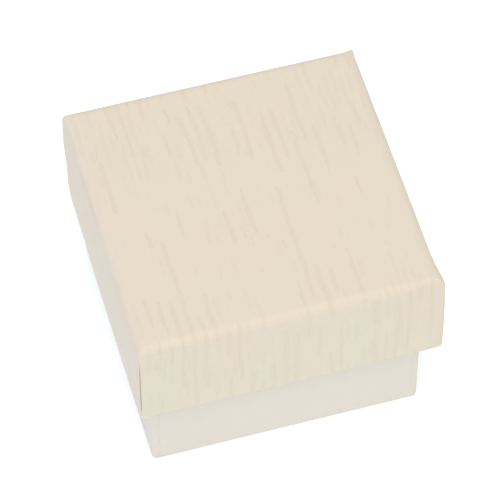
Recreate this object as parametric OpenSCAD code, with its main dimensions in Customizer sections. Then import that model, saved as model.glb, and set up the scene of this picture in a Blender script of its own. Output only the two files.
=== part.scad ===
// Rigid jewelry gift box: a paper-covered telescoping lid over a narrower paper-covered base, with a
// velvet-covered foam insert that holds a ring, a pair of earrings or a chain.
// Millimetres, +Z up, the front towards -Y. The origin is the middle of the closed box's footprint, on
// the surface that it stands on.

/* [Box] */
// Outer width of the lid, left to right
lid_w = 51; // [42:1:80]
// Outer depth of the lid, front to back
lid_d = 50; // [42:1:80]
// Height of the closed box
box_h = 37; // [30:1:60]
// Height of the lid, outside
lid_h = 19.5; // [16:0.5:24]

/* [Board and paper] */
// Thickness of the chipboard that both trays are folded from
board_t = 1.3; // [0.8:0.1:2]
// Thickness of the covering paper
wrap_t = 0.25; // [0.1:0.05:0.4]
// Thickness of the paper that lines the lid's top and the base's floor
liner_t = 0.2; // [0.1:0.05:0.4]
// Thickness of the tape that holds the board's corners shut
stay_t = 0.12; // [0.06:0.02:0.3]
// How far the corner tape laps along each wall
stay_reach = 8; // [4:0.5:12]
// Gap that the folded board leaves where two walls meet
board_seam = 0.1; // [0.05:0.05:0.3]
// Outer radius of the covered edges and corners
edge_r = 1.2; // [0.8:0.1:2]
// How far the lid's covering paper turns in over the rim
lid_turn_in = 13; // [4:1:13]
// How far the base's turned-in paper reaches below the top of the insert
turn_in_lap = 2; // [0.5:0.5:6]

/* [Insert] */
// Height of the plain foam pad under the jewel holder
riser_h = 5; // [2:0.5:8]
// Height of the slit foam block
foam_h = 12.4; // [9:0.2:15]
// Thickness of the velvet
velvet_t = 0.6; // [0.4:0.1:1]
// Outer radius of the velvet's edges and corners
velvet_r = 1.6; // [1.2:0.1:2.5]
// Width of every slit
slit_w = 0.6; // [0.4:0.1:1.2]
// Length of the slit that grips the ring
ring_slit_l = 24; // [16:1:28]
// Depth of the slit that grips the ring
ring_slit_depth = 9; // [8:0.5:9]
// How deep the velvet is tucked into the ring slit
tuck_depth = 6; // [3:0.5:7]
// Length of each earring slit
earring_slit_l = 5; // [3:0.5:8]
// Distance between the middles of the two earring slits
earring_spacing = 16; // [10:1:20]
// Distance from the ring slit back to the earring slits
earring_back = 9; // [6:0.5:12]
// Length of each chain slit, in from the insert's back corner
chain_slit_l = 6; // [4:0.5:8]
// Depth of the earring and chain slits
small_slit_depth = 4; // [2:0.5:6]

/* [Fit] */
// Gap between the lid's inside and the base's outside, on each side
lid_clear = 0.4; // [0.2:0.05:1]
// Gap between the insert and the base's inside, on each side
insert_clear = 0.2; // [0.1:0.05:0.6]
// Gap between a lining paper's edges and the board walls around it
liner_gap = 0.3; // [0.1:0.05:0.5]

/* [Hidden] */
$fn = 48;

// A cut reaches this far past the face that it opens.
over = 1;

// A covered wall: the wrap outside, the board, and the wrap turned in.
wall_t = board_t + 2 * wrap_t;
// A covered floor, or the lid's top: the wrap, the board and the lining.
floor_t = wrap_t + board_t + liner_t;

// The base slides inside the lid, and its rim stops against the lining of the lid's top.
base_w = lid_w - 2 * (wall_t + lid_clear);
base_d = lid_d - 2 * (wall_t + lid_clear);
base_h = box_h - floor_t;

// The insert stands on the base's lining, inside the turned-in paper.
insert_w = base_w - 2 * (wall_t + insert_clear);
insert_d = base_d - 2 * (wall_t + insert_clear);
riser_z = floor_t;
foam_z = riser_z + riser_h;
velvet_top = foam_z + foam_h + velvet_t;

// The base's covering paper turns in over the rim until its edge is hidden beside the insert.
base_turn_in = base_h + turn_in_lap - velvet_top;

wrap_cream = [0.91, 0.86, 0.77];
wrap_ivory = [0.92, 0.89, 0.85];
greyboard = [0.62, 0.58, 0.52];
lining_white = [0.93, 0.92, 0.90];
tape_kraft = [0.76, 0.63, 0.45];
foam_white = [0.90, 0.90, 0.88];
velvet_ivory = [0.86, 0.82, 0.75];

// ---- Shapes that repeat ----

// A rectangle about the origin, with round corners.
module rounded_rectangle(w, d, r) {
    square([w - 2 * r, d], center = true);
    square([w, d - 2 * r], center = true);
    for (x = [-1, 1], y = [-1, 1])
        translate([x * (w / 2 - r), y * (d / 2 - r)]) circle(r);
}

// An upright block with round upright corners, standing on z = 0.
module rounded_post(w, d, h, r) {
    linear_extrude(h) rounded_rectangle(w, d, r);
}

// The outline of a tray from one side, with its two lower corners round.
module tray_profile(w, h, r) {
    translate([-w / 2, r]) square([w, h - r]);
    translate([r - w / 2, 0]) square([w - 2 * r, h]);
    for (x = [-1, 1])
        translate([x * (w / 2 - r), r]) circle(r);
}

// A solid block with the lower edges and the upright corners round, standing on z = 0.
module tray_block(w, d, h, r) {
    intersection() {
        rounded_post(w, d, h, r);
        rotate([90, 0, 0]) linear_extrude(d + 2 * over, center = true) tray_profile(w, h, r);
        rotate([90, 0, 90]) linear_extrude(w + 2 * over, center = true) tray_profile(d, h, r);
    }
}

// A square-cornered block about the Z axis, from z = low to z = high.
module plain_block(w, d, low, high) {
    translate([-w / 2, -d / 2, low]) cube([w, d, high - low]);
}

// ---- The pieces of one covered tray: outer size w by d by h, its floor on z = 0 and open at the top ----

// The four strips of tape round the board's corners, as one ring cut to the corner (sx, sy).
module tray_stay(w, d, h, sx, sy) {
    board_w = w - 2 * wrap_t;
    board_d = d - 2 * wrap_t;
    board_r = edge_r - wrap_t;
    tape_h = h - wrap_t - edge_r;
    translate([0, 0, edge_r]) intersection() {
        difference() {
            rounded_post(board_w, board_d, tape_h, board_r);
            translate([0, 0, -over])
                rounded_post(board_w - 2 * stay_t, board_d - 2 * stay_t, tape_h + 2 * over, board_r - stay_t);
        }
        translate([sx * (board_w / 2 - stay_reach / 2), sy * (board_d / 2 - stay_reach / 2), tape_h / 2])
            cube([stay_reach, stay_reach, tape_h + 2 * over], center = true);
    }
}

// The folded board, with its corner joints open by the seam and pressed in under the tape.
module tray_board(w, d, h) {
    wrapped = 2 * wrap_t;
    inside_w = w - wrapped - 2 * board_t;
    inside_d = d - wrapped - 2 * board_t;
    floor_top = wrap_t + board_t;
    difference() {
        translate([0, 0, wrap_t]) tray_block(w - wrapped, d - wrapped, h - wrapped, edge_r - wrap_t);
        plain_block(inside_w, inside_d, floor_top, h);
        for (sx = [-1, 1], sy = [-1, 1]) {
            tray_stay(w, d, h, sx, sy);
            translate([sx * (inside_w + board_t) / 2, sy * (inside_d - board_seam) / 2, h / 2 + floor_top])
                cube([board_t + 2 * over, board_seam, h], center = true);
        }
    }
}

// The covering paper: outside, over the rim, and turned in down the inside of the walls.
module tray_wrap(w, d, h, turn_in) {
    wrapped = 2 * wrap_t;
    inside_w = w - 2 * wall_t;
    inside_d = d - 2 * wall_t;
    difference() {
        tray_block(w, d, h, edge_r);
        translate([0, 0, wrap_t]) tray_block(w - wrapped, d - wrapped, h - wrapped, edge_r - wrap_t);
        plain_block(inside_w, inside_d, h - wrapped, h + over);
    }
    difference() {
        plain_block(inside_w + wrapped, inside_d + wrapped, h - turn_in, h);
        plain_block(inside_w, inside_d, h - turn_in - over, h + over);
    }
}

// The lining pasted on the floor, inside the board walls.
module tray_liner(w, d) {
    covered = 2 * (wrap_t + board_t + liner_gap);
    plain_block(w - covered, d - covered, wrap_t + board_t, floor_t);
}

// The lid is such a tray turned over, with its floor as the box's top.
module lid_place() {
    translate([0, 0, box_h]) mirror([0, 0, 1]) children();
}

// ---- The lid ----

module lid_board() {
    color(greyboard) lid_place() tray_board(lid_w, lid_d, lid_h);
}

module lid_wrap() {
    color(wrap_cream) lid_place() tray_wrap(lid_w, lid_d, lid_h, lid_turn_in);
}

module lid_liner() {
    color(lining_white) lid_place() tray_liner(lid_w, lid_d);
}

module lid_corner_stay(sx, sy) {
    color(tape_kraft) lid_place() tray_stay(lid_w, lid_d, lid_h, sx, sy);
}

// ---- The base ----

module base_board() {
    color(greyboard) tray_board(base_w, base_d, base_h);
}

module base_wrap() {
    color(wrap_ivory) tray_wrap(base_w, base_d, base_h, base_turn_in);
}

module base_liner() {
    color(lining_white) tray_liner(base_w, base_d);
}

module base_corner_stay(sx, sy) {
    color(tape_kraft) tray_stay(base_w, base_d, base_h, sx, sy);
}

// ---- The insert ----

// A cut as wide as a slit, centred on x = 0, from the top of the velvet down by depth.
module slit(length, depth, width) {
    translate([-length / 2, -width / 2, velvet_top - depth]) cube([length, width, depth + over]);
}

// The earring slits and the chain slits, which go through the velvet into the foam.
module small_slits() {
    for (x = [-1, 1]) {
        translate([x * earring_spacing / 2, earring_back, 0])
            slit(earring_slit_l, small_slit_depth, slit_w);
        translate([x * insert_w / 2, insert_d / 2, 0])
            rotate(x * 45) slit(2 * chain_slit_l, small_slit_depth, slit_w);
    }
}

// The pocket in the foam that the velvet of the ring slit is tucked into.
module tuck_pocket() {
    slit(ring_slit_l + 2 * velvet_t, tuck_depth, slit_w + 2 * velvet_t);
}

// The foam block without its slits.
module foam_block() {
    translate([0, 0, foam_z])
        rounded_post(insert_w - 2 * velvet_t, insert_d - 2 * velvet_t, foam_h, velvet_r - velvet_t);
}

module insert_riser() {
    color(foam_white) translate([0, 0, riser_z]) rounded_post(insert_w, insert_d, riser_h, velvet_r);
}

module insert_foam() {
    color(foam_white) difference() {
        foam_block();
        tuck_pocket();
        slit(ring_slit_l, ring_slit_depth, slit_w);
        small_slits();
    }
}

module insert_velvet() {
    color(velvet_ivory) difference() {
        union() {
            difference() {
                translate([0, 0, velvet_top]) mirror([0, 0, 1])
                    tray_block(insert_w, insert_d, foam_h + velvet_t, velvet_r);
                foam_block();
            }
            intersection() {
                tuck_pocket();
                plain_block(insert_w, insert_d, foam_z, velvet_top);
            }
        }
        slit(ring_slit_l, tuck_depth + over, slit_w);
        small_slits();
    }
}

lid_board();
lid_wrap();
lid_liner();
lid_corner_stay(-1, -1);  // lid_corner_stay_front_left
lid_corner_stay(1, -1);  // lid_corner_stay_front_right
lid_corner_stay(-1, 1);  // lid_corner_stay_back_left
lid_corner_stay(1, 1);  // lid_corner_stay_back_right
base_board();
base_wrap();
base_liner();
base_corner_stay(-1, -1);  // base_corner_stay_front_left
base_corner_stay(1, -1);  // base_corner_stay_front_right
base_corner_stay(-1, 1);  // base_corner_stay_back_left
base_corner_stay(1, 1);  // base_corner_stay_back_right
insert_riser();
insert_foam();
insert_velvet();
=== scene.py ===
"""A rigid, paper-covered jewelry gift box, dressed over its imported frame.

A telescoping lid, covered in cream paper that is pressed with broken streaks, sits on a narrower base that
is covered in smooth ivory paper. Inside, a velvet-covered foam insert holds a ring, a pair of earrings or
a chain. The classes hold their sizes in millimetres, and the meshes are made in metres in the frame's
axes, with the front towards -Y.
"""

import logging
import math
from collections.abc import Sequence
from dataclasses import dataclass
from enum import Enum

import bpy
import numpy as np
from mathutils import Matrix, Vector, noise


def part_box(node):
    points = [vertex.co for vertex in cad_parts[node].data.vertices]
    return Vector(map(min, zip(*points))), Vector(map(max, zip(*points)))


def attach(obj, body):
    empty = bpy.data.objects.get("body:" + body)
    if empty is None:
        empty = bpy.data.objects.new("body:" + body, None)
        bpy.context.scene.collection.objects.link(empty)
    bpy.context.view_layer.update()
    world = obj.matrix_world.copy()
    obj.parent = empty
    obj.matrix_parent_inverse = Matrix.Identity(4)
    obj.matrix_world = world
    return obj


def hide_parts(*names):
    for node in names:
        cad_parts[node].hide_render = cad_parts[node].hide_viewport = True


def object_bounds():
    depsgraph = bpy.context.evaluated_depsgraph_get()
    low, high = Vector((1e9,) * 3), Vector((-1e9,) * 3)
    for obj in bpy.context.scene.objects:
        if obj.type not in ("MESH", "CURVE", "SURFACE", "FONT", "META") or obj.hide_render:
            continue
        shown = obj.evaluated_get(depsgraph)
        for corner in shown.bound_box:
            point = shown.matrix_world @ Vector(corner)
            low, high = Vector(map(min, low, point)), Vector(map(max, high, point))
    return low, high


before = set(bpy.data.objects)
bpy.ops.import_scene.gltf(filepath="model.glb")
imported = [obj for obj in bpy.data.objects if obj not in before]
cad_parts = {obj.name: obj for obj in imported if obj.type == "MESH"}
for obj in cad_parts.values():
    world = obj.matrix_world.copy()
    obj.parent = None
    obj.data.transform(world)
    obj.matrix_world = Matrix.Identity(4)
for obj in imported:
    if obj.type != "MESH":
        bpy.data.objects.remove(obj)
cad_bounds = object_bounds()

log = logging.getLogger("gift_box")

MM = 0.001
QUARTER = math.pi / 2
SHEET_MAP = "sheet"  # a UV map: each point's place on the flat paper, in millimetres
EDGE_MAP = "cut_edge"  # a UV map: how far each point is from a flap's cut edge, and down from the fold

Colour = tuple[float, float, float]
Size = float | tuple[float, float, float]  # the same each way, or along each axis


class Body(Enum):
    """The frame's bodies, which the pieces ride on."""

    BASE = "base"
    LID = "lid"
    INSERT = "insert"


class Slot(Enum):
    """The record's material slots."""

    GREYBOARD = "greyboard"
    CREAM_PAPER = "cream_paper"
    IVORY_PAPER = "ivory_paper"
    LINING_PAPER = "lining_paper"
    KRAFT_TAPE = "kraft_tape"
    FOAM = "foam"
    VELVET = "velvet"


# ---- Shapes along a line ----


def smooth(low: float, high: float, x: np.ndarray | float) -> np.ndarray:
    """A soft step.

    Args:
        low: Where the step begins, at 0.
        high: Where it ends, at 1.
        x: The values to step.

    Returns:
        The stepped values.
    """
    t = np.clip((np.asarray(x, float) - low) / (high - low), 0.0, 1.0)
    return t * t * (3.0 - 2.0 * t)


def hump(x: np.ndarray | float, middle: float, width: float) -> np.ndarray:
    """A bell curve of height 1 about middle, of that width."""
    return np.exp(-(((np.asarray(x, float) - middle) / width) ** 2))


def unevenness(points: np.ndarray, grain: float, seed: float) -> np.ndarray:
    """Smooth hand-made unevenness.

    Args:
        points: Three columns, in millimetres.
        grain: The size of the dips and swells, in millimetres.
        seed: Which unevenness, so that pieces differ.

    Returns:
        One value a point, from about -1 to 1.
    """
    shift = Vector((seed, -seed, 0.5 * seed))
    return np.array([noise.noise(Vector(p) / grain + shift) for p in points])


def quarter(steps: int) -> list[float]:
    """The angles of a quarter turn in equal steps, from 0 to its end."""
    return [QUARTER * k / steps for k in range(steps + 1)]


def raised(plan: np.ndarray, z: float) -> np.ndarray:
    """Points in plan, put at that height."""
    return np.column_stack([plan, np.full(len(plan), z)])


def node_box(name: str) -> list[Vector]:
    """The low and the high corner of one of the frame's nodes, in millimetres."""
    return [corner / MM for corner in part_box(name)]


def thicken(sheet: bpy.types.Object, title: str, thickness: float) -> None:
    """Gives a sheet its thickness, behind its face.

    Args:
        sheet: The sheet.
        title: The modifier's name.
        thickness: The thickness, in millimetres.
    """
    made = sheet.modifiers.new(title, "SOLIDIFY")
    made.thickness = thickness * MM
    made.offset = -1.0


def spans(*stops: tuple[float, float]) -> np.ndarray:
    """Stations along a line, each stretch with a spacing of its own.

    Args:
        stops: Places in rising order, each with the spacing of the stretch that ends there.

    Returns:
        The stations, with every stop among them.
    """
    found = [stops[0][0]]
    for (start, _), (end, step) in zip(stops, stops[1:]):
        count = max(1, round((end - start) / step))
        found += [start + (end - start) * k / count for k in range(1, count + 1)]
    return np.array(found)


def banded(half: float, step: float, bands: Sequence[np.ndarray]) -> np.ndarray:
    """Even stations from -half to half, with closer bands in place of some of them.

    Args:
        half: Half the length.
        step: The even spacing.
        bands: The stations of each band, in rising order.

    Returns:
        All the stations, in rising order.
    """
    found = np.linspace(-half, half, 2 * math.ceil(half / step) + 1)
    for band in bands:
        clear = step / 3
        found = np.concatenate([found[(found < band[0] - clear) | (found > band[-1] + clear)], band])
    return np.sort(found)


# ---- Meshes ----


class Draft:
    """Points and faces that grow into one mesh object, with the places of its points on the flat sheet."""

    SHARP_ANGLE = math.radians(50)

    def __init__(self) -> None:
        """Starts with nothing."""
        self.points: list[np.ndarray] = []
        self.flats: list[np.ndarray] = []
        self.faces: list[tuple[int, ...]] = []
        self.sides: list[int] = []
        self.count = 0

    def add_points(
        self, points: np.ndarray, flats: np.ndarray, edges: np.ndarray | None = None
    ) -> np.ndarray:
        """Adds points.

        Args:
            points: Three columns, in millimetres.
            flats: Four columns, in millimetres: each point's place on the flat sheet by the front and
                back flaps' reckoning, then by the side flaps'.
            edges: Two columns: how far each point is outside a flap's cut edge, and down from the fold.

        Returns:
            The new points' numbers.
        """
        if edges is None:
            edges = np.zeros((len(points), 2))
        self.points.append(points)
        self.flats.append(np.column_stack([flats, edges]))
        self.count += len(points)
        return np.arange(self.count - len(points), self.count)

    def add_face(self, corners: Sequence[int], side: int = 0) -> None:
        """Adds a face, which reads its flat places as the front and back flaps do (0) or the sides (1)."""
        self.faces.append(tuple(int(c) for c in corners))
        self.sides.append(side)

    def bridge(self, first: np.ndarray, second: np.ndarray, sides: Sequence[int]) -> None:
        """Joins two closed rings of the same length with a band of faces.

        Args:
            first: One ring's point numbers.
            second: The next ring's.
            sides: For each face, whose flat places it reads.
        """
        for i in range(len(first)):
            j = (i + 1) % len(first)
            self.add_face((first[i], first[j], second[j], second[i]), sides[i])

    def turn_faces(self, start: int = 0) -> None:
        """Turns the faces from number start on inside out."""
        self.faces[start:] = [face[::-1] for face in self.faces[start:]]

    def turn_over(self, top: float) -> None:
        """Turns everything over, so that what was counted up from 0 is counted down from top."""
        self.points = [points * (1, 1, -1) + (0, 0, top) for points in self.points]
        self.turn_faces()

    def build(self, name: str) -> bpy.types.Object:
        """Makes the mesh object.

        Args:
            name: The object's name.

        Returns:
            The smooth-shaded object, with its two UV maps.
        """
        mesh = bpy.data.meshes.new(name)
        mesh.from_pydata((np.concatenate(self.points) * MM).tolist(), [], self.faces)
        flats = np.concatenate(self.flats)
        corners = np.array([corner for face in self.faces for corner in face])
        sizes = [len(face) for face in self.faces]
        on_side = np.repeat(np.array(self.sides) > 0, sizes)[:, None]
        places = np.where(on_side, flats[corners, 2:4], flats[corners, 0:2])
        for title, values in ((SHEET_MAP, places), (EDGE_MAP, flats[corners, 4:6])):
            layer = mesh.uv_layers.new(name=title)
            layer.data.foreach_set("uv", values.astype(np.float32).ravel())
        mesh.validate()
        mesh.shade_smooth()
        mesh.set_sharp_from_angle(angle=self.SHARP_ANGLE)
        made = bpy.data.objects.new(name, mesh)
        bpy.context.scene.collection.objects.link(made)
        return made


class Outline:
    """The stations of a rounded rectangle, the same for every ring of a mesh.

    A ring starts at the left end of the front and runs anticlockwise as seen from above. Its straight
    sides have stations at fixed shares of their length, and its corners are arcs.
    """

    def __init__(self, across: np.ndarray, along: np.ndarray, arc_steps: int) -> None:
        """Sets the stations.

        Args:
            across: Stations along the front and the back, as shares from -1 to 1.
            along: Stations along the left and the right, as shares from -1 to 1.
            arc_steps: How many edges each corner has.
        """
        self.across, self.along, self.arc_steps = across, along, arc_steps
        runs = [
            ([(x, -1.0) for x in across], -QUARTER),
            ([(1.0, y) for y in along], 0.0),
            ([(x, 1.0) for x in across[::-1]], QUARTER),
            ([(-1.0, y) for y in along[::-1]], 2 * QUARTER),
        ]
        shares: list[tuple[float, float]] = []
        normals: list[tuple[float, float]] = []
        for places, heading in runs:
            turns = [0.0] * len(places) + quarter(arc_steps)[1:-1]
            shares += places + [places[-1]] * (arc_steps - 1)
            normals += [(math.cos(heading + t), math.sin(heading + t)) for t in turns]
        self.shares, self.normals = np.array(shares), np.array(normals)

    def ring(self, half_w: float, half_d: float, radius: float) -> np.ndarray:
        """The ring's points in plan, two columns, for those half sizes and that corner radius."""
        return self.shares * (half_w - radius, half_d - radius) + self.normals * radius

    def unrolled(self, half_w: float, half_d: float, radius: float) -> np.ndarray:
        """How far round the corners each point is from the middles of the sides.

        Args:
            half_w: The ring's half width.
            half_d: Its half depth.
            radius: Its corner radius.

        Returns:
            Two columns: the distance along x and round the corners, and along y and round the corners.
        """
        turn = np.arctan2(np.abs(self.normals[:, 0]), np.abs(self.normals[:, 1]))
        arcs = np.stack([turn, QUARTER - turn], 1) * np.sign(self.normals) * radius
        return self.shares * (half_w - radius, half_d - radius) + arcs

    def grid(self, half_w: float, half_d: float) -> np.ndarray:
        """The points of the flat panel inside a ring, row by row from the front, two columns."""
        x, y = np.meshgrid(self.across * half_w, self.along * half_d)
        return np.stack([x.ravel(), y.ravel()], 1)

    def fill(self, draft: Draft, grid: np.ndarray, ring: np.ndarray) -> None:
        """Adds the faces inside a ring, which face down: the grid's, and the band between the two.

        Args:
            draft: The mesh so far.
            grid: The grid's point numbers.
            ring: The ring's point numbers.
        """
        table = grid.reshape(len(self.along), len(self.across))
        for near, far in zip(table, table[1:]):
            for k in range(len(near) - 1):
                draft.add_face((near[k], far[k], far[k + 1], near[k + 1]))
        start = 0
        for rim in (table[0], table[:, -1], table[-1, ::-1], table[::-1, 0]):
            for k in range(len(rim) - 1):
                draft.add_face((rim[k], rim[k + 1], ring[start + k + 1], ring[start + k]))
            start += len(rim) - 1
            for k in range(self.arc_steps):
                draft.add_face((rim[-1], ring[(start + k + 1) % len(ring)], ring[start + k]))
            start += self.arc_steps


# ---- The covering papers ----


@dataclass(frozen=True)
class Level:
    """One ring of a tray's covering paper.

    Attributes:
        inset: How far the ring stands in from the tray's outside.
        z: Its height above the tray's floor.
        run: How much paper lies between it and the edge of the flat panel.
        inside: Whether it is on the paper that is turned in.
    """

    inset: float
    z: float
    run: float
    inside: bool = False


@dataclass(frozen=True)
class Seam:
    """The upright cut edges of the front and back flaps, which lie over the tucked ends of the side flaps.

    Attributes:
        inset: How far in from the corner the cut edge stands.
        step: How proud the flap stands.
        groove: How deep the gap beside the edge is.
        gap: Half the width of that gap.
        free: How far down from the fold the edge starts to come free.
    """

    inset: float
    step: float
    groove: float
    gap: float
    free: float


@dataclass(frozen=True)
class Bow:
    """How far a tray's walls are out of true, outwards: their bellies, and their lean at the rim."""

    front: float
    right: float
    back: float
    left: float
    lean: float


@dataclass
class CoveredTray:
    """A folded board tray and the one sheet of paper that covers it.

    The paper covers the floor, goes down the walls and round the rim, and is turned in over the inside.
    The board, the corner tape and the lining keep the frame's own shapes.
    """

    title: str
    piece: str
    body: Body
    slot: Slot
    seam: Seam
    bow: Bow
    turn_in: float
    corner_radius: float
    seed: float
    turned_over: bool = False
    fold_radius: float = 1.05
    rim_radius: float = 0.25
    inner_radius: float = 0.35
    panel_radius: float = 0.12
    ripple: float = 0.035
    lifted_corner: float = 0.0
    eared_corner: float = 0.0
    worn_corner: float = 0.0

    # The mesh: edges to a quarter turn, and the distances between rings and between stations.
    FOLD_STEPS = 7
    RIM_STEPS = 4
    ARC_STEPS = 20
    NEAR, FAR = 2.0, 1.0  # the stretches of wall next to the fold and to the rim
    WALL_STEPS = (0.4, 1.2, 0.5)  # on the stretch by the fold, between the two, and by the rim
    INSIDE_STEP = 1.4
    SEAM_STEPS = ((0.3, 0.05), (1.3, 0.25), (4.3, 0.6))  # each up to how far past the cut edge
    STEP = 1.6

    # The paper's small faults.
    INSIDE_SHARE = 0.5  # of the bow, which the turned-in paper follows
    PAPER_SHARE = 0.85  # of the paper's thickness, which keeps its back off the board
    RIPPLE_SIZE = 9.0  # the size of the walls' ripples
    RIPPLE_RISE = 2.0  # how far down from the panel they get their full height
    WAVE_SIZE = 13.0  # the size of the panel's waves
    CALM_RIM = 6.0  # how far in from the panel's edges its waves rise
    FREE_RUN = 1.6  # how much further down a cut edge is free
    EDGE_SOFT = 0.04  # half the width of the step at a cut edge
    EDGE_REACH = 2.0  # how far from a cut edge its distance is still told
    EDGE_HIDDEN = 9.0  # what is added to it on the turned-in paper, which shows no dark core and no painted gap shade
    CLOSED = (0.8, 3.0)  # up from the rim, where the turn-in stops holding a cut edge shut
    CLOSED_SHARE = 0.75  # how far it holds it shut
    LIFT_FACING = (-0.05, 0.75)  # how squarely the lifted paper faces right
    LIFT_START = (0.6, 1.9)  # down from the panel, where it starts to stand off
    LIFT_FULL = (2.0, 12.0)  # and where it comes to stand off in full
    LIFT_FLARE = 0.35  # how much less it stands off before that
    LIFT_REACH = 3.6  # how far along the wall it stands off
    EAR_REACH = 1.0  # the size of the point that stands out, and how far down it is
    EAR_RISE = 0.6  # how much it stands up for each unit that it stands out
    WEAR = (8.0, 17.0)  # down from the panel, where the corner gets worn
    WEAR_REACH = 2.4  # how far from the corner it is worn

    def __post_init__(self) -> None:
        """Takes the tray's sizes from the frame."""
        low, high = node_box(f"{self.title}_wrap")
        board_low, board_high = node_box(f"{self.title}_board")
        liner_low, liner_high = node_box(f"{self.title}_liner")
        self.half_w, self.half_d = high.x, high.y
        self.height, self.top = high.z - low.z, high.z
        self.paper = high.x - board_high.x
        panel = board_high.z - liner_high.z if self.turned_over else liner_low.z - board_low.z
        self.wall = panel + 2 * self.paper

    def levels(self) -> list[Level]:
        """Lists the paper's rings.

        Returns:
            The rings, from the edge of the flat panel over the fold, along the wall and round the rim.
        """
        fold, rim = self.fold_radius, self.rim_radius
        found = [
            Level(fold * (1 - math.sin(t)), fold * (1 - math.cos(t)), fold * t)
            for t in quarter(self.FOLD_STEPS)
        ]
        wall_end = self.height - rim
        near, middle, far = self.WALL_STEPS
        walls = spans((fold, 0), (fold + self.NEAR, near), (wall_end - self.FAR, middle), (wall_end, far))
        found += [Level(0.0, z, found[-1].run + z - fold) for z in walls[1:]]
        start = found[-1].run
        turns = quarter(self.RIM_STEPS)
        for t in turns[1:]:
            found.append(Level(rim * (1 - math.cos(t)), wall_end + rim * math.sin(t), start + rim * t))
        start = found[-1].run
        flat = self.wall - 2 * rim
        found.append(Level(self.wall / 2, self.height, start + flat / 2))
        for t in turns:
            inset, z = self.wall - rim * (1 - math.sin(t)), wall_end + rim * math.cos(t)
            found.append(Level(inset, z, start + flat + rim * t, t > 0))
        start = found[-1].run
        for drop in spans((0, 0), (self.FAR, far), (self.turn_in - rim, self.INSIDE_STEP))[1:]:
            found.append(Level(self.wall, wall_end - drop, start + drop, True))
        return found

    def outline(self) -> Outline:
        """Spaces the stations.

        Returns:
            The stations, closer together near the cut edges.
        """
        shares = []
        edge = max(self.seam.inset - self.corner_radius, 0.0)
        stops = [(edge + past, step) for past, step in self.SEAM_STEPS]
        for half in (self.half_w, self.half_d):
            straight = half - self.corner_radius
            fine = spans((0, 0), *stops, (straight, self.STEP))
            inward = (straight - fine[:-1]) / straight
            shares.append(np.concatenate([-inward, [0.0], inward[::-1]]))
        return Outline(*shares, self.ARC_STEPS)

    def push(self, plan: np.ndarray, outline: Outline, level: Level, edge: np.ndarray) -> np.ndarray:
        """How far out each point of a ring moves, for the bow, the ripple and the cut edges.

        Args:
            plan: The ring in plan.
            outline: Its stations.
            level: Its place.
            edge: How far each point is outside the flap's cut edge.

        Returns:
            One distance a point.
        """
        nx, ny = outline.normals.T
        across, along = 1 - outline.shares[:, 0] ** 2, 1 - outline.shares[:, 1] ** 2
        belly = self.bow.front * across * (ny < -0.99) + self.bow.back * across * (ny > 0.99)
        belly = belly + self.bow.right * along * (nx > 0.99) + self.bow.left * along * (nx < -0.99)
        down = level.z / self.height
        out = belly * math.sin(math.pi * min(down, 1.0)) ** 0.8 + self.bow.lean * down
        waves = unevenness(raised(plan, level.z), self.RIPPLE_SIZE, self.seed)
        out = out + self.ripple * waves * smooth(0, self.RIPPLE_RISE, level.run)
        if level.inside:
            return out * self.INSIDE_SHARE
        seam = self.seam
        to_rim = self.height - level.z
        closed = self.CLOSED_SHARE * (1 - float(smooth(*self.CLOSED, to_rim)))
        free = smooth(seam.free, seam.free + self.FREE_RUN, level.run) * (1 - closed)
        out = out + seam.step * (1 - smooth(-self.EDGE_SOFT, self.EDGE_SOFT, edge)) * free
        return out - seam.groove * hump(edge, seam.gap, seam.gap) * free

    def pull_corners(self, points: np.ndarray, outline: Outline, level: Level) -> np.ndarray:
        """Moves the points at the corners that are out of true.

        The paper stands off the board at the front-right upright corner, a point of it stands out at the
        back-right corner of the panel, and it is worn down on to the board at the back-left corner.

        Args:
            points: A ring's points.
            outline: Its stations.
            level: Its place.

        Returns:
            The moved points.
        """
        if level.inside:
            return points
        points = points.copy()
        facing = smooth(*self.LIFT_FACING, outline.normals[:, 0])
        start, flare = smooth(*self.LIFT_START, level.run), smooth(*self.LIFT_FULL, level.run)
        band = float(start * (1 + (flare - 1) * self.LIFT_FLARE))
        shape = hump(points[:, 1], -self.half_d, self.LIFT_REACH)
        points[:, 0] += self.lifted_corner * facing * band * shape
        away = np.hypot(points[:, 0] - self.half_w, points[:, 1] - self.half_d)
        height = float(hump(level.run, self.EAR_REACH, self.EAR_REACH))
        ear = self.eared_corner * hump(away, 0.0, self.EAR_REACH) * height
        points[:, :2] += outline.normals * ear[:, None]
        points[:, 2] -= self.EAR_RISE * ear
        away = np.hypot(points[:, 0] + self.half_w, points[:, 1] - self.half_d)
        depth = float(smooth(*self.WEAR, level.run))
        worn = self.worn_corner * hump(away, 0.0, self.WEAR_REACH) * depth
        points[:, :2] -= outline.normals * worn[:, None]
        return points

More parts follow.
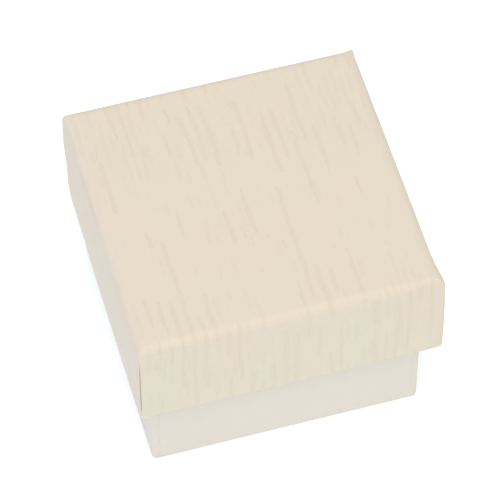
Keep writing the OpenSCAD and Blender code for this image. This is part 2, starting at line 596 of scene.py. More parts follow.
    def cover(self) -> bpy.types.Object:
        """Builds the covering paper.

        Returns:
            The paper, with its true thickness.
        """
        outline = self.outline()
        draft = Draft()
        panel_w, panel_d = self.half_w - self.fold_radius, self.half_d - self.fold_radius
        grid = outline.grid(panel_w - self.panel_radius, panel_d - self.panel_radius)
        waves = 1 + unevenness(raised(grid, 0.0), self.WAVE_SIZE, self.seed)
        inward = (panel_w, panel_d) - np.abs(grid)
        calm = smooth(0, self.CALM_RIM, inward).prod(1)
        inner = draft.add_points(np.column_stack([grid, self.ripple * waves * calm]), np.tile(grid, 2))
        above = None
        for level in self.levels():
            half_w, half_d = self.half_w - level.inset, self.half_d - level.inset
            least = self.inner_radius if level.z > self.fold_radius else self.panel_radius
            radius = max(self.corner_radius - level.inset, least)
            plan = outline.ring(half_w, half_d, radius)
            edge = np.abs(plan[:, 0]) - (half_w - self.seam.inset)
            out = self.push(plan, outline, level, edge)
            points = raised(plan + outline.normals * out[:, None], level.z)
            rolled = outline.unrolled(half_w, half_d, radius)
            ends = np.sign(outline.shares + outline.normals) * (panel_w + level.run, panel_d + level.run)
            flats = np.column_stack([rolled[:, 0], ends[:, ::-1], rolled[:, 1]])
            if above is None:
                flats = np.tile(plan, 2)
            hidden = self.EDGE_HIDDEN if level.inside else 0.0
            reach = np.clip(edge, -self.EDGE_REACH, self.EDGE_REACH)
            edges = raised(reach[:, None] + hidden, level.run)
            ring = draft.add_points(self.pull_corners(points, outline, level), flats, edges)
            if above is None:
                outline.fill(draft, inner, ring)
            else:
                middle = (edge + np.roll(edge, -1)) / 2
                draft.bridge(above, ring, (middle > 0).astype(int))
            above = ring
        if self.turned_over:
            draft.turn_over(self.top)
        made = draft.build(self.piece)
        thicken(made, "paper", self.paper * self.PAPER_SHARE)
        return made

    def make(self, finishes: "Finishes") -> None:
        """Builds the paper, and dresses it and the pieces under it.

        Args:
            finishes: The box's finishes.
        """
        paper = self.cover()
        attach(paper, self.body.value)
        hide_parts(f"{self.title}_wrap")
        finishes.dress(paper, self.slot)
        finishes.dress_node(f"{self.title}_board", Slot.GREYBOARD)
        finishes.dress_node(f"{self.title}_liner", Slot.LINING_PAPER)
        for corner in ("front_left", "front_right", "back_left", "back_right"):
            finishes.dress_node(f"{self.title}_corner_stay_{corner}", Slot.KRAFT_TAPE)


# ---- The insert ----


@dataclass(frozen=True)
class Slit:
    """A slit in the insert, cut straight down, with rolled lips.

    Attributes:
        x: Its middle.
        y: Its middle.
        length: Its length.
        depth: Its depth.
        lip: The radius of its lips.
        gap: Half its width.
        turn: Its direction, in degrees from +X.
    """

    x: float
    y: float
    length: float
    depth: float
    lip: float
    gap: float = 0.15
    turn: float = 0.0

    LIP_STEPS = 8
    STEP = 0.35  # along the slit
    PAST_END = 0.4  # how far past the lips' ends the close stations go on
    SIDE = 0.001  # how near to the slit's side counts as inside

    def away(self, plan: np.ndarray) -> np.ndarray:
        """How far each point is from the slit's nearer side.

        Args:
            plan: Points in plan.

        Returns:
            One distance a point, negative inside the slit.
        """
        turn = math.radians(self.turn)
        x, y = (plan - (self.x, self.y)).T
        along = np.abs(x * math.cos(turn) + y * math.sin(turn)) - self.length / 2
        across = y * math.cos(turn) - x * math.sin(turn)
        return np.hypot(np.maximum(along, 0.0), across) - self.gap

    def drop(self, plan: np.ndarray) -> np.ndarray:
        """How far the surface drops, down the lips and then down the cut.

        Args:
            plan: Points in plan.

        Returns:
            One distance a point.
        """
        away = self.away(plan)
        reach = np.clip(self.lip - away, 0.0, self.lip)
        rolled = self.lip - np.sqrt(self.lip**2 - reach**2)
        return np.where(away < self.SIDE, self.depth, rolled)

    def rows(self) -> np.ndarray:
        """Stations across the slit that follow the roll of its lips."""
        side = np.array([self.gap + self.lip * (1 - math.sin(t)) for t in quarter(self.LIP_STEPS)])
        return self.y + np.concatenate([-side, side[::-1]])

    def columns(self) -> np.ndarray:
        """Stations along the slit and past its ends."""
        half = self.length / 2 + self.lip + self.PAST_END
        return self.x + np.linspace(-half, half, 2 * math.ceil(half / self.STEP) + 1)


@dataclass
class Pad:
    """A block of foam, or the cover pulled over one: rounded, crowned, and drawn in between its corners."""

    node: str
    piece: str
    slot: Slot
    seed: float
    slits: Sequence[Slit] = ()
    edge_radius: float = 1.6
    corner_radius: float = 1.9
    foot_radius: float = 0.5
    crown: float = 0.35
    draw_in: float = 0.18
    skin: float = 0.0
    fill: float = 0.9

    ARC_STEPS = 12
    EDGE_STEPS = 6
    STEP = 1.0  # between stations
    WALL_STEP = 0.7  # between rings, at most
    CORNER_STEPS = 22  # the rows beside each end of a diagonal slit
    LUMP = 0.05  # how uneven the top is
    LUMP_SIZE = 5.0

    def __post_init__(self) -> None:
        """Takes the pad's sizes from the frame."""
        low, high = node_box(self.node)
        self.half_w, self.half_d = high.x, high.y
        self.low, self.high = low.z, high.z

    def outline(self) -> Outline:
        """Spaces the stations.

        At the back corners the spacing puts a row of points on each side of a diagonal slit.

        Returns:
            The stations, closer together at the slits.
        """
        across, along = self.half_w - self.corner_radius, self.half_d - self.corner_radius
        straight = [slit for slit in self.slits if not slit.turn]
        columns = [slit.columns() for slit in straight]
        rows = [slit.rows() for slit in straight if slit.x >= 0]
        diagonal = [slit.gap for slit in self.slits if slit.turn]
        if diagonal:
            pitch = diagonal[0] * math.sqrt(2)
            corner = -pitch * np.arange(self.CORNER_STEPS, -1, -1)
            columns += [across + corner, -across - corner[::-1]]
            rows.append(along + corner)
        return Outline(
            banded(across, self.STEP, columns) / across,
            banded(along, self.STEP, rows) / along,
            self.ARC_STEPS,
        )

    def settle(self, points: np.ndarray) -> np.ndarray:
        """Crowns the top, makes it a little uneven and cuts the slits.

        Args:
            points: Points of the plain block.

        Returns:
            The moved points.
        """
        plan = points[:, :2]
        share = np.abs(plan) / (self.half_w, self.half_d)
        dome = (1 - np.minimum(share[:, 0], 1) ** 4) * (1 - np.minimum(share[:, 1], 1) ** 4)
        z = points[:, 2] + self.crown * dome * smooth(self.low, self.high, points[:, 2])
        lumps = self.LUMP * unevenness(points, self.LUMP_SIZE, self.seed)
        z = z + lumps * dome * (points[:, 2] > self.low)
        for slit in self.slits:
            z = np.minimum(z, self.high + self.crown * dome - slit.drop(plan))
        return np.column_stack([plan, np.maximum(z, self.low)])

    def levels(self) -> list[tuple[float, float]]:
        """Lists the rings below the top panel.

        Returns:
            How far each ring stands in, and its height.
        """
        edge, foot = self.edge_radius, 0.0 if self.skin else self.foot_radius
        turns = quarter(self.EDGE_STEPS)
        found = [(edge * (1 - math.sin(t)), self.high - edge * (1 - math.cos(t))) for t in turns]
        floor = self.low + foot
        count = math.ceil((self.high - edge - floor) / self.WALL_STEP)
        found += [(0.0, z) for z in np.linspace(self.high - edge, floor, count + 1)[1:]]
        if foot:
            found += [(foot * (1 - math.cos(t)), floor - foot * math.sin(t)) for t in turns[1:]]
        return found

    def shape(self) -> bpy.types.Object:
        """Builds the pad: a closed block, or an open-bottomed cover of its skin's thickness.

        Returns:
            The pad.
        """
        outline = self.outline()
        draft = Draft()
        radius = self.corner_radius
        grid = outline.grid(self.half_w - radius, self.half_d - radius)
        inner = draft.add_points(self.settle(raised(grid, self.high)), np.tile(grid, 2))
        bare = 1 - np.abs(outline.shares * outline.normals[:, ::-1]).max(1) ** 2
        bare = bare * (np.abs(outline.normals).max(1) > 0.99)
        above = None
        for inset, z in self.levels():
            half_w, half_d = self.half_w - inset, self.half_d - inset
            plan = outline.ring(half_w, half_d, radius - inset)
            middle = math.sin(math.pi * (self.high - z) / (self.high - self.low))
            plan = plan - outline.normals * (self.draw_in * max(middle, 0.0) * bare)[:, None]
            rolled = outline.unrolled(half_w, half_d, radius - inset)
            flats = rolled + outline.normals * (self.high - z + inset)
            ring = draft.add_points(self.settle(raised(plan, z)), np.tile(flats, 2))
            if above is None:
                outline.fill(draft, inner, ring)
            else:
                draft.bridge(above, ring, [0] * len(ring))
            above = ring
        if not self.skin:
            start = len(draft.faces)
            outline.fill(draft, draft.add_points(raised(grid, self.low), np.tile(grid, 2)), above)
            draft.turn_faces(start)
        draft.turn_faces()
        made = draft.build(self.piece)
        if self.skin:
            thicken(made, "cover", self.skin)
        return made

    def make(self, finishes: "Finishes") -> bpy.types.Object:
        """Builds the pad and dresses it.

        Args:
            finishes: The box's finishes.

        Returns:
            The pad.
        """
        made = self.shape()
        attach(made, Body.INSERT.value)
        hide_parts(self.node)
        finishes.dress(made, self.slot)
        return made


@dataclass
class Insert:
    """The jewel holder: a plain foam riser, a slit foam block, and the velvet that is pulled over it."""

    ring_length: float = 24.0
    ring_tuck: float = 6.0
    ring_lip: float = 1.3
    earring_length: float = 5.0
    earring_spacing: float = 16.0
    earring_back: float = 9.0
    chain_length: float = 6.0
    chain_turn: float = 45.0  # in degrees
    small_depth: float = 4.0
    small_lip: float = 0.5
    velvet: float = 0.6
    hem: float = 1.0  # how much longer than the foam's height the velvet's flaps were cut

    def slits(self, half_w: float, half_d: float, widen: float) -> list[Slit]:
        """The ring slit, the earring slits and the chain slits.

        Args:
            half_w: Half the width of the pad that they are cut in.
            half_d: Half its depth.
            widen: How much wider each side is than in the velvet.

        Returns:
            The slits.
        """
        depth, lip = self.small_depth, self.small_lip
        found = [Slit(0, 0, self.ring_length, self.ring_tuck, self.ring_lip, Slit.gap + widen)]
        for side in (-1, 1):
            x = side * self.earring_spacing / 2
            found.append(Slit(x, self.earring_back, self.earring_length, depth, lip))
            reach, turn = 2 * self.chain_length, side * self.chain_turn
            found.append(Slit(side * half_w, half_d, reach, depth, lip, turn=turn))
        return found

    def make(self, finishes: "Finishes") -> None:
        """Builds the three pieces.

        Args:
            finishes: The box's finishes.
        """
        riser = Pad(
            "insert_riser", "foam_riser", Slot.FOAM, 3.0, edge_radius=0.5, corner_radius=1.6, crown=0.0
        )
        riser.make(finishes)
        foam = Pad("insert_foam", "foam_block", Slot.FOAM, 5.0, edge_radius=1.0, corner_radius=1.3)
        foam.slits = self.slits(foam.half_w, foam.half_d, self.velvet)
        block = foam.make(finishes)
        cover = Pad("insert_velvet", "velvet_cover", Slot.VELVET, 7.0, skin=self.velvet)
        cover.slits = self.slits(cover.half_w, cover.half_d, 0.0)
        cover.make(finishes)


# ---- Shader maths ----


class Wire:
    """A socket that takes part in Python expressions, which add Math and Vector Math nodes."""

    def __init__(self, paint: "Paint", socket: bpy.types.NodeSocket) -> None:
        """Wraps the socket of a node in that paint."""
        self.paint, self.socket = paint, socket

    def maths(self, operation: str, *values: "Wire | float | Colour") -> "Wire":
        """Adds a Math node, or a Vector Math node where a value is a vector.

        Args:
            operation: What it works out.
            values: The values that it takes.

        Returns:
            The result.
        """
        wide = any(isinstance(v, tuple) or (isinstance(v, Wire) and v.socket.type != "VALUE") for v in values)
        kind = "ShaderNodeVectorMath" if wide else "ShaderNodeMath"
        if wide:
            values = tuple((v, v, v) if isinstance(v, (int, float)) else v for v in values)
        return self.paint.add(kind, {"operation": operation}, dict(enumerate(values)))

    def __add__(self, other: "Wire | float | Colour") -> "Wire":
        """The sum."""
        return self.maths("ADD", self, other)

    __radd__ = __add__

    def __sub__(self, other: "Wire | float | Colour") -> "Wire":
        """The difference."""
        return self.maths("SUBTRACT", self, other)

    def __rsub__(self, other: "Wire | float | Colour") -> "Wire":
        """The difference, the other way round."""
        return self.maths("SUBTRACT", other, self)

    def __mul__(self, other: "Wire | float | Colour") -> "Wire":
        """The product."""
        return self.maths("MULTIPLY", self, other)

    __rmul__ = __mul__

    def above(self, low: float, high: float) -> "Wire":
        """A soft step.

        Args:
            low: Where it is 0.
            high: Where it is 1.

        Returns:
            The stepped value.
        """
        return self.paint.add(
            "ShaderNodeMapRange",
            {"interpolation_type": "SMOOTHSTEP"},
            {"Value": self, "From Min": low, "From Max": high},
        )

    def size(self) -> "Wire":
        """The value without its sign."""
        return self.maths("ABSOLUTE", self)

    def part(self, axis: str) -> "Wire":
        """One part of a vector: X, Y or Z."""
        return self.paint.add("ShaderNodeSeparateXYZ", {}, {"Vector": self}, axis)


class Paint:
    """A material in the making, around one Principled shader."""

    def __init__(self, name: str) -> None:
        """Starts the material.

        Args:
            name: Its name.
        """
        self.material = bpy.data.materials.new(name)
        self.material.use_nodes = True
        self.tree = self.material.node_tree
        self.tree.nodes.clear()
        self.shader = self.tree.nodes.new("ShaderNodeBsdfPrincipled")
        output = self.tree.nodes.new("ShaderNodeOutputMaterial")
        self.tree.links.new(self.shader.outputs["BSDF"], output.inputs["Surface"])

    def add(
        self,
        kind: str,
        settings: dict[str, object],
        inputs: dict[str | int, "Wire | float | Colour"],
        output: str | int = 0,
    ) -> Wire:
        """Adds a node.

        Args:
            kind: The node's type.
            settings: Its own settings, which are set first.
            inputs: The values or links of its sockets.
            output: The output socket to go on with.

        Returns:
            That output socket.
        """
        node = self.tree.nodes.new(kind)
        for name, value in settings.items():
            setattr(node, name, value)
        for name, value in inputs.items():
            self.plug(node.inputs[name], value)
        return Wire(self, node.outputs[output])

    def plug(self, socket: bpy.types.NodeSocket, value: "Wire | float | Colour") -> None:
        """Links a wire to a socket, or sets the socket's own value.

        Args:
            socket: The input socket.
            value: The wire or the value.
        """
        if isinstance(value, Wire):
            self.tree.links.new(value.socket, socket)
        elif socket.type == "RGBA":
            socket.default_value = (*value, 1.0)
        else:
            socket.default_value = value

    def surface(self, **sockets: "Wire | float | Colour") -> None:
        """Plugs the shader's sockets, whose names have _ for each space."""
        for name, value in sockets.items():
            self.plug(self.shader.inputs[name.replace("_", " ")], value)

    def sheet(self) -> Wire:
        """The place on the flat sheet, in millimetres."""
        return self.add("ShaderNodeUVMap", {"uv_map": SHEET_MAP}, {})

    def cut_edge(self) -> Wire:
        """How far outside a flap's cut edge (X) and down from the fold (Y), in millimetres."""
        return self.add("ShaderNodeUVMap", {"uv_map": EDGE_MAP}, {})

    def solid(self) -> Wire:
        """The place in the solid, in millimetres."""
        return self.add("ShaderNodeTexCoord", {}, {}, "Object") * (1 / MM)

    def grain(
        self,
        place: Wire,
        size: Size,
        seed: float = 0.0,
        detail: float = 2.0,
        rough: float = 0.5,
    ) -> Wire:
        """Soft random variation.

        Args:
            place: Where, in millimetres.
            size: The size of its swells, in millimetres.
            seed: Which variation.
            detail: How many finer layers it has.
            rough: How strong they are.

        Returns:
            A value about 0.5.
        """
        sizes = (size, size, size) if isinstance(size, (int, float)) else size
        scaled = place * tuple(1 / s for s in sizes) + (seed, -seed, 2 * seed)
        values = {"Vector": scaled, "Scale": 1.0, "Detail": detail, "Roughness": rough}
        return self.add("ShaderNodeTexNoise", {}, values)

    def blend(self, share: Wire | float, first: Wire | Colour, second: Wire | Colour) -> Wire:
        """A colour between two.

        Args:
            share: How much of the second.
            first: The first colour.
            second: The second.

        Returns:
            The mixed colour.
        """
        return self.add("ShaderNodeMix", {"data_type": "RGBA"}, {0: share, 6: first, 7: second}, 2)

    def relief(self, height: Wire, depth: float) -> None:
        """Gives the surface a fine relief.

        Args:
            height: Its height, from 0 to 1.
            depth: What a height of 1 stands for, in millimetres.
        """
        bump = self.add("ShaderNodeBump", {}, {"Height": height, "Distance": depth * MM, "Strength": 1.0})
        self.surface(Normal=bump)


# ---- Finishes ----


@dataclass(frozen=True)
class Streaks:
    """One family of pressed streaks, in columns that run from front to back.

    Attributes:
        pitch: How far apart the columns are.
        long: How long a streak is.
        seed: Which streaks.
        bare: How much of each column they leave bare, as the level where they begin.
    """

    pitch: float
    long: float
    seed: float
    bare: float


@dataclass(frozen=True)
class StreakedPaper:
    """Cream covering paper, pressed with ragged, broken streaks that run from front to back."""

    warm: Colour = (0.775, 0.691, 0.555)
    cool: Colour = (0.762, 0.697, 0.556)
    shade: Colour = (0.744, 0.657, 0.519)
    light: Colour = (0.765, 0.709, 0.563)
    # the cut edge's dark raw core, darkened further as painted shade in the gap beside the flap
    core_and_gap_shade: Colour = (0.30, 0.235, 0.16)
    roughness: float = 0.62
    pressed: float = 0.03  # how deep the streaks are
    half_streak: float = 0.42  # half the width of a streak, at most
    taper: float = 9.0  # how fast a streak gets wide from its end
    broad: Streaks = Streaks(pitch=1.9, long=15.0, seed=4.0, bare=0.575)
    fine: Streaks = Streaks(pitch=1.3, long=7.0, seed=9.0, bare=0.60)
    pale: Streaks = Streaks(pitch=1.6, long=9.0, seed=15.0, bare=0.58)
    soft: float = 0.12  # how soft a streak's sides are
    wander: float = 1.1  # how far a column strays
    ragged: float = 0.22  # how uneven a streak's outline is
    patchy: float = 0.36  # how unevenly the streaks are spread
    deeper: float = 0.08  # how much more the press bit towards the back, and on the front wall
    back: tuple[float, float] = (0.0, 20.0)  # where it comes to bite more, towards the back
    front: tuple[float, float] = (-22.0, -26.0)  # and towards the front wall
    drift_size: float = 15.0  # the size of the warmer and cooler areas
    cloud_size: float = 6.0
    fibre_size: Size = (0.16, 0.3, 1.0)
    core_and_shade_middle: float = 0.04  # how far outside the cut edge the dark core and the painted gap shade show
    core_and_shade_half: tuple[float, float] = (0.03, 0.085)  # half their width, from full to none
    seam_start: tuple[float, float] = (4.4, 7.6)  # where the dark core and the painted gap shade start to show, down from the fold
    seam_end: tuple[float, float] = (17.4, 18.8)  # where they stop

    COLUMN_APART = 7.3  # how far apart two neighbouring columns are in the noise, so that they differ

    def streaks(self, paint: Paint, place: Wire, family: Streaks) -> Wire:
        """Presses one family of streaks.

        Args:
            paint: The material.
            place: The place on the flat sheet.
            family: The streaks.

        Returns:
            1 on the streaks, and 0 beside them.
        """
        seed = family.seed
        wander = (paint.grain(place, (13.0, 9.0, 9.0), seed + 3.0, 1.0) - 0.5) * self.wander
        column = (place.part("X") + wander) * (1 / family.pitch)
        row = column.maths("FLOOR", column) * self.COLUMN_APART
        along = paint.add("ShaderNodeCombineXYZ", {}, {"X": row, "Y": place.part("Y") * (1 / family.long)})
        body = paint.grain(along, 1.0, seed, 1.5, 0.55)
        ragged = (paint.grain(place, (0.4, 1.0, 1.0), seed + 1.0, 2.0, 0.6) - 0.5) * self.ragged
        patchy = (paint.grain(place, (13.0, 16.0, 9.0), seed + 2.0, 1.0) - 0.5) * self.patchy
        behind, before = place.part("Y").above(*self.back), place.part("Y").above(*self.front)
        reach = (body + ragged + patchy + (behind + before) * self.deeper - family.bare) * self.taper
        middle = (column.maths("FRACT", column) - 0.5).size() * family.pitch
        return (reach.maths("MINIMUM", reach, self.half_streak) - middle).above(0.0, self.soft)

    def material(self) -> bpy.types.Material:
        """Makes the material.

        Returns:
            The material.
        """
        paint = Paint("streaked_cream_paper")
        place = paint.sheet()
        broad, fine, pale = (self.streaks(paint, place, f) for f in (self.broad, self.fine, self.pale))
        fibre = paint.grain(place, self.fibre_size, 21.0, 3.0, 0.65)
        cloud = paint.grain(place, self.cloud_size, 27.0, 2.0)
        drift = paint.grain(place, self.drift_size, 33.0, 1.0).above(0.38, 0.62)
        dark = broad.maths("MAXIMUM", broad, fine * 0.55)
        cream = paint.blend(drift, self.warm, self.cool)
        colour = paint.blend(dark * 0.85, cream, self.shade)
        colour = paint.blend(pale * (1 - dark) * 0.6, colour, self.light)
        colour = colour * ((fibre - 0.5) * 0.035 + (cloud - 0.5) * 0.02 + 1.0)
        # The flap's cut edge: its dark raw core, plus painted shade in the gap beside it, where the flap
        # stands free
        edge = paint.cut_edge()
        line = 1 - (edge.part("X") - self.core_and_shade_middle).size().above(*self.core_and_shade_half)
        length = edge.part("Y").above(*self.seam_start) * (1 - edge.part("Y").above(*self.seam_end))
        colour = paint.blend(line * length * 0.85, colour, self.core_and_gap_shade)
        paint.surface(Base_Color=colour, Specular_IOR_Level=0.35)
        paint.surface(Roughness=self.roughness + (fibre - 0.5) * 0.12 - dark * 0.05)
        paint.relief(1 - dark * 0.7 - pale * 0.3 + fibre * 0.25, self.pressed)
        return paint.material


@dataclass(frozen=True)
class SmoothPaper:
    """Smooth ivory covering paper with a soft calendered face."""

    ivory: Colour = (0.774, 0.714, 0.634)
    roughness: float = 0.5
    fibre_size: Size = (0.14, 0.2, 1.0)
    cloud_size: float = 3.5
    relief: float = 0.012

    def material(self) -> bpy.types.Material:
        """Makes the material.

        Returns:
            The material.
        """
        paint = Paint("smooth_ivory_paper")
        place = paint.sheet()
        fibre = paint.grain(place, self.fibre_size, 2.0, 3.0, 0.65)
        cloud = paint.grain(place, self.cloud_size, 5.0, 2.0)
        colour = paint.blend((cloud - 0.35) * 0.6, self.ivory, tuple(c * 0.97 for c in self.ivory))
        paint.surface(Base_Color=colour * ((fibre - 0.5) * 0.02 + 1.0), Specular_IOR_Level=0.4)
        paint.surface(Roughness=self.roughness + (fibre - 0.5) * 0.1 + (cloud - 0.5) * 0.06)
        paint.relief(fibre * 0.7 + cloud * 0.3, self.relief)
        return paint.material


@dataclass(frozen=True)
class LiningPaper:
    """Thin uncoated lining paper, off white with a few darker fibres."""

    white: Colour = (0.80, 0.78, 0.74)
    hair: Colour = (0.62, 0.57, 0.49)
    roughness: float = 0.8
    felt_size: float = 0.35
    hair_size: Size = (0.09, 0.8, 0.3)
    relief: float = 0.02

    def material(self) -> bpy.types.Material:
        """Makes the material.

        Returns:
            The material.
        """
        paint = Paint("lining_paper")
        place = paint.solid()
        felt = paint.grain(place, self.felt_size, 1.0, 3.0, 0.6)
        hairs = paint.grain(place, self.hair_size, 6.0, 1.0).above(0.69, 0.73)
        colour = paint.blend(hairs * 0.35, self.white, self.hair) * ((felt - 0.5) * 0.05 + 1.0)
        paint.surface(Base_Color=colour, Specular_IOR_Level=0.3)
        paint.surface(Roughness=self.roughness + (felt - 0.5) * 0.15)
        paint.relief(felt, self.relief)
        return paint.material


@dataclass(frozen=True)
class Greyboard:
    """Solid board made from waste paper: grey-brown, felted, with darker and paler flecks."""

    grey: Colour = (0.343, 0.296, 0.234)
    dark: Colour = (0.13, 0.11, 0.09)
    pale: Colour = (0.56, 0.52, 0.45)
    roughness: float = 0.9
    felt_size: float = 0.5
    dark_fleck: Size = (0.14, 0.5, 0.2)
    pale_fleck: Size = (0.5, 0.13, 0.2)
    relief: float = 0.04

    def material(self) -> bpy.types.Material:
        """Makes the material.

        Returns:
            The material.
        """
        paint = Paint("greyboard")
        place = paint.solid()
        felt = paint.grain(place, self.felt_size, 2.0, 4.0, 0.6)
        dark = paint.grain(place, self.dark_fleck, 8.0, 1.0).above(0.66, 0.72)
        pale = paint.grain(place, self.pale_fleck, 12.0, 1.0).above(0.66, 0.72)
        colour = paint.blend(dark * 0.6, self.grey, self.dark)
        colour = paint.blend(pale * 0.6, colour, self.pale) * ((felt - 0.5) * 0.25 + 1.0)
        paint.surface(Base_Color=colour, Specular_IOR_Level=0.25)
        paint.surface(Roughness=self.roughness - felt * 0.08)
        paint.relief(felt * 0.8 + pale * 0.2, self.relief)
        return paint.material


@dataclass(frozen=True)
class KraftTape:
    """Gummed kraft tape, brown and ribbed by its long fibres."""

    kraft: Colour = (0.539, 0.355, 0.171)
    dark: Colour = (0.36, 0.22, 0.10)
    roughness: float = 0.66
    rib_size: Size = (0.12, 0.12, 1.2)
    cloud_size: float = 2.5
    relief: float = 0.02

    def material(self) -> bpy.types.Material:
        """Makes the material.

        Returns:
            The material.
        """
        paint = Paint("kraft_tape")
        place = paint.solid()
        ribs = paint.grain(place, self.rib_size, 3.0, 3.0, 0.6)
        cloud = paint.grain(place, self.cloud_size, 7.0, 2.0)
        colour = paint.blend(ribs.above(0.45, 0.75) * 0.4, self.kraft, self.dark)
        paint.surface(Base_Color=colour * ((cloud - 0.5) * 0.15 + 1.0), Specular_IOR_Level=0.35)
        paint.surface(Roughness=self.roughness + (ribs - 0.5) * 0.15)
        paint.relief(ribs, self.relief)
        return paint.material


@dataclass(frozen=True)
class Velvet:
    """Short-pile ivory velvet, whose pile lies in soft patches, with painted shade deep between its tufts."""

    pile: Colour = (0.69, 0.615, 0.505)
    # painted shade deep in the pile between the tufts, and the darker tone of the nap's patches
    pile_shade_and_nap: Colour = (0.50, 0.42, 0.32)
    sheen: Colour = (1.0, 0.96, 0.90)
    roughness: float = 0.95
    tuft_size: float = 0.11
    nap_size: Size = (3.5, 2.2, 3.0)
    brush_size: Size = (0.5, 1.6, 1.0)
    relief: float = 0.07

    def material(self) -> bpy.types.Material:
        """Makes the material.

        Returns:
            The material.
        """
        paint = Paint("ivory_velvet")
        place = paint.solid()
        tufts = paint.grain(place, self.tuft_size, 4.0, 2.0, 0.7)
        nap = paint.grain(place, self.nap_size, 9.0, 2.0)
        brushed = paint.grain(place, self.brush_size, 14.0, 2.0)
        # darker between the tufts as painted shade in the pile, and in soft patches where the nap lies
        # differently
        depth = (1 - tufts).above(0.35, 0.7) * 0.45 + (nap - 0.5) * 0.7 + (brushed - 0.5) * 0.3
        paint.surface(Base_Color=paint.blend(depth, self.pile, self.pile_shade_and_nap))
        paint.surface(Roughness=self.roughness - tufts * 0.1, Specular_IOR_Level=0.15)
        paint.surface(Sheen_Weight=0.7, Sheen_Roughness=0.4, Sheen_Tint=self.sheen)
        paint.relief(tufts * 0.7 + brushed * 0.3, self.relief)
        return paint.material


@dataclass(frozen=True)
class Foam:
    """Open-cell foam, off white with fine pores, whose hollows are painted darker as shade."""

    white: Colour = (0.79, 0.785, 0.75)
    # painted shade in the hollows of the pores
    pore_shade: Colour = (0.45, 0.43, 0.38)
    roughness: float = 0.95
    pores_per_mm: float = 2.6
    felt_size: float = 0.6
    relief: float = 0.12

    def material(self) -> bpy.types.Material:
        """Makes the material.

        Returns:
            The material.
        """
        paint = Paint("open_cell_foam")
        place = paint.solid()
        values = {"Vector": place, "Scale": self.pores_per_mm}
        cells = paint.add("ShaderNodeTexVoronoi", {"feature": "F1"}, values)
        felt = paint.grain(place, self.felt_size, 3.0, 2.0)
        walls = cells.above(0.08, 0.42)
        # the pores painted darker as shade in their hollows
        colour = paint.blend((1 - walls) * 0.6, self.white, self.pore_shade)
        paint.surface(Base_Color=colour * ((felt - 0.5) * 0.08 + 1.0), Specular_IOR_Level=0.2)
        paint.surface(Roughness=self.roughness - walls * 0.05)
        paint.relief(walls, self.relief)
        return paint.material


class Finishes:
    """The box's materials, one for each slot of the record."""

    MAKERS = {
        Slot.GREYBOARD: Greyboard,
        Slot.CREAM_PAPER: StreakedPaper,
        Slot.IVORY_PAPER: SmoothPaper,
        Slot.LINING_PAPER: LiningPaper,
        Slot.KRAFT_TAPE: KraftTape,
        Slot.FOAM: Foam,
        Slot.VELVET: Velvet,
    }

    def __init__(self) -> None:
        """Makes every material once."""
        self.materials = {slot: maker().material() for slot, maker in self.MAKERS.items()}

    def dress(self, piece: bpy.types.Object, slot: Slot) -> None:
        """Gives a new piece its material."""
        piece.data.materials.append(self.materials[slot])
        log.info("%s: %d faces, in %s", piece.name, len(piece.data.polygons), slot.value)

    def dress_node(self, name: str, slot: Slot) -> None:
        """Gives one of the frame's own nodes its material.

        Args:
            name: The node.
            slot: Its slot.
        """
        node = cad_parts[name]
        for place in node.material_slots:
            place.material = self.materials[slot]
        log.info("%s: the frame's own shape, in %s", name, slot.value)


# ---- The studio ----


@dataclass(frozen=True)
class Lamp:
    """A large soft lamp.

    Attributes:
        title: Its name.
        place: Where it stands, in metres from the middle of the box.
        size: Its width, in metres.
        power: Its power, in watts.
        colour: Its colour.
    """

    title: str
    place: tuple[float, float, float]
    size: float
    power: float
    colour: Colour

    def make(self, target: Vector) -> None:
        """Hangs the lamp and turns it to the box.

        Args:
            target: The middle of the box.
        """
        light = bpy.data.lights.new(self.title, "AREA")
        light.size, light.energy, light.color = self.size, self.power, self.colour
        made = bpy.data.objects.new(self.title, light)
        made.location = target + Vector(self.place)
        made.rotation_mode = "QUATERNION"
        made.rotation_quaternion = Vector(self.place).to_track_quat("Z", "Y")
        bpy.context.scene.collection.objects.link(made)


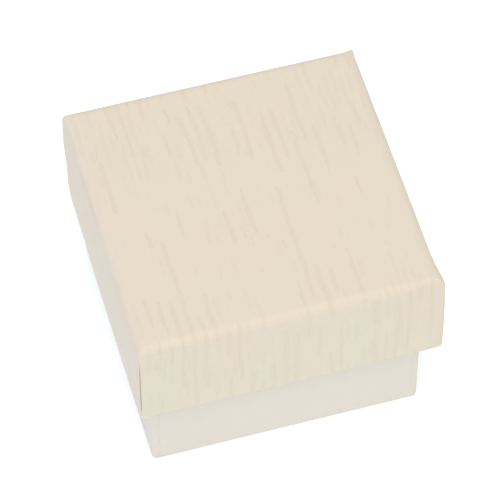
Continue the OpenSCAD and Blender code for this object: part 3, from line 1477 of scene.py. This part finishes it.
@dataclass(frozen=True)
class Studio:
    """A pale floor that glows a little and lights the box from below, a soft surround, four soft lamps and
    the camera.
    """

    surround: Colour = (0.435, 0.435, 0.53)
    floor: Colour = (0.94, 0.95, 0.95)
    floor_glow_colour: Colour = (0.82, 0.98, 0.92)
    floor_glow: float = 0.30
    floor_half: float = 3.0
    lamps: tuple[Lamp, ...] = (
        Lamp("key_lamp", (-0.08, -0.33, 0.94), 0.5, 3.9, (1.0, 0.88, 0.77)),
        Lamp("overhead_lamp", (0.0, 0.05, 1.0), 0.6, 2.75, (0.92, 1.0, 0.84)),
        Lamp("front_fill", (-0.17, -0.95, 0.28), 0.6, 0.4, (0.80, 1.0, 0.60)),
        Lamp("left_fill", (-0.96, -0.05, 0.28), 0.6, 0.75, (0.35, 0.30, 1.0)),
    )
    azimuth: float = -16.15
    elevation: float = 55.40
    roll: float = 0.14
    distance: float = 0.576
    lens: float = 245.9
    sensor: float = 36.0
    aim: tuple[float, float] = (0.00021, 0.00159)

    FLOOR_STATIONS = 41
    COVE_START = 0.8  # of the floor's half width
    COVE_RISE = 0.5

    def lay_floor(self) -> None:
        """Lays a wide floor with a gentle cove at its edges."""
        steps = np.linspace(-1, 1, self.FLOOR_STATIONS)
        x, y = np.meshgrid(steps * self.floor_half, steps * self.floor_half)
        rise = np.maximum(np.hypot(x, y) - self.COVE_START * self.floor_half, 0.0) ** 2 * self.COVE_RISE
        points = np.stack([x.ravel(), y.ravel(), rise.ravel()], 1)
        count = len(steps)
        faces = [
            (k, k + 1, k + count + 1, k + count)
            for row in range(count - 1)
            for k in range(row * count, row * count + count - 1)
        ]
        mesh = bpy.data.meshes.new("studio_floor")
        mesh.from_pydata(points.tolist(), [], faces)
        mesh.shade_smooth()
        made = bpy.data.objects.new("studio_floor", mesh)
        bpy.context.scene.collection.objects.link(made)
        paint = Paint("studio_floor")
        paint.surface(Base_Color=self.floor, Roughness=0.9, Specular_IOR_Level=0.1)
        # the floor's glow: it fills in the box's contact shadow and lights its walls from below, in the
        # glow's colour
        paint.surface(Emission_Color=self.floor_glow_colour, Emission_Strength=self.floor_glow)
        mesh.materials.append(paint.material)

    def light(self, target: Vector) -> None:
        """Lights the scene.

        Args:
            target: The middle of the box.
        """
        world = bpy.data.worlds.new("studio_surround")
        world.use_nodes = True
        world.node_tree.nodes["Background"].inputs["Color"].default_value = (*self.surround, 1.0)
        bpy.context.scene.world = world
        bpy.context.scene.view_settings.view_transform = "Standard"
        for lamp in self.lamps:
            lamp.make(target)

    def set_camera(self, target: Vector) -> None:
        """Sets up the camera.

        Args:
            target: The middle of the box.
        """
        turn, tilt, roll = (math.radians(a) for a in (self.azimuth, self.elevation, self.roll))
        flat = math.cos(tilt)
        back = Vector((math.sin(turn) * flat, -math.cos(turn) * flat, math.sin(tilt)))
        level = Vector((math.cos(turn), math.sin(turn), 0.0))
        up = back.cross(level)
        right = level * math.cos(roll) + up * math.sin(roll)
        place = target + back * self.distance
        rolled_up = up * math.cos(roll) - level * math.sin(roll)
        away = (place - (target + right * self.aim[0] + rolled_up * self.aim[1])).normalized()
        side = rolled_up.cross(away).normalized()
        camera = bpy.data.cameras.new("camera")
        camera.lens, camera.sensor_width = self.lens, self.sensor
        made = bpy.data.objects.new("camera", camera)
        axes = Matrix((side, away.cross(side), away)).transposed()
        made.matrix_world = Matrix.Translation(place) @ axes.to_4x4()
        bpy.context.scene.collection.objects.link(made)
        bpy.context.scene.camera = made

    def make(self) -> None:
        """Builds the studio round the box."""
        low, high = cad_bounds
        target = (low + high) / 2
        self.lay_floor()
        self.light(target)
        self.set_camera(target)


# ---- The box ----


@dataclass
class Lid(CoveredTray):
    """The lid, whose paper stands off the board at one upright corner."""

    title: str = "lid"
    piece: str = "lid_cover_paper"
    body: Body = Body.LID
    slot: Slot = Slot.CREAM_PAPER
    seam: Seam = Seam(inset=0.2, step=0.1, groove=0.16, gap=0.05, free=4.0)
    bow: Bow = Bow(front=0.08, right=0.05, back=0.04, left=0.08, lean=0.05)
    turn_in: float = 13.0
    fold_radius: float = 1.6
    corner_radius: float = 0.55
    seed: float = 1.0
    turned_over: bool = True
    lifted_corner: float = 0.8
    eared_corner: float = 0.3
    worn_corner: float = 0.3


@dataclass
class Base(CoveredTray):
    """The base, which the lid slides over."""

    title: str = "base"
    piece: str = "base_cover_paper"
    body: Body = Body.BASE
    slot: Slot = Slot.IVORY_PAPER
    seam: Seam = Seam(inset=1.3, step=0.05, groove=0.04, gap=0.06, free=0.8)
    bow: Bow = Bow(front=0.05, right=0.2, back=0.05, left=0.05, lean=0.04)
    turn_in: float = 17.5
    fold_radius: float = 0.6
    corner_radius: float = 0.85
    seed: float = 2.0


def main() -> None:
    """Builds the box and the studio."""
    logging.basicConfig(level=logging.INFO, format="%(name)s: %(message)s")
    finishes = Finishes()
    Base().make(finishes)
    Insert().make(finishes)
    Lid().make(finishes)
    Studio().make()


if __name__ == "__main__":
    main()
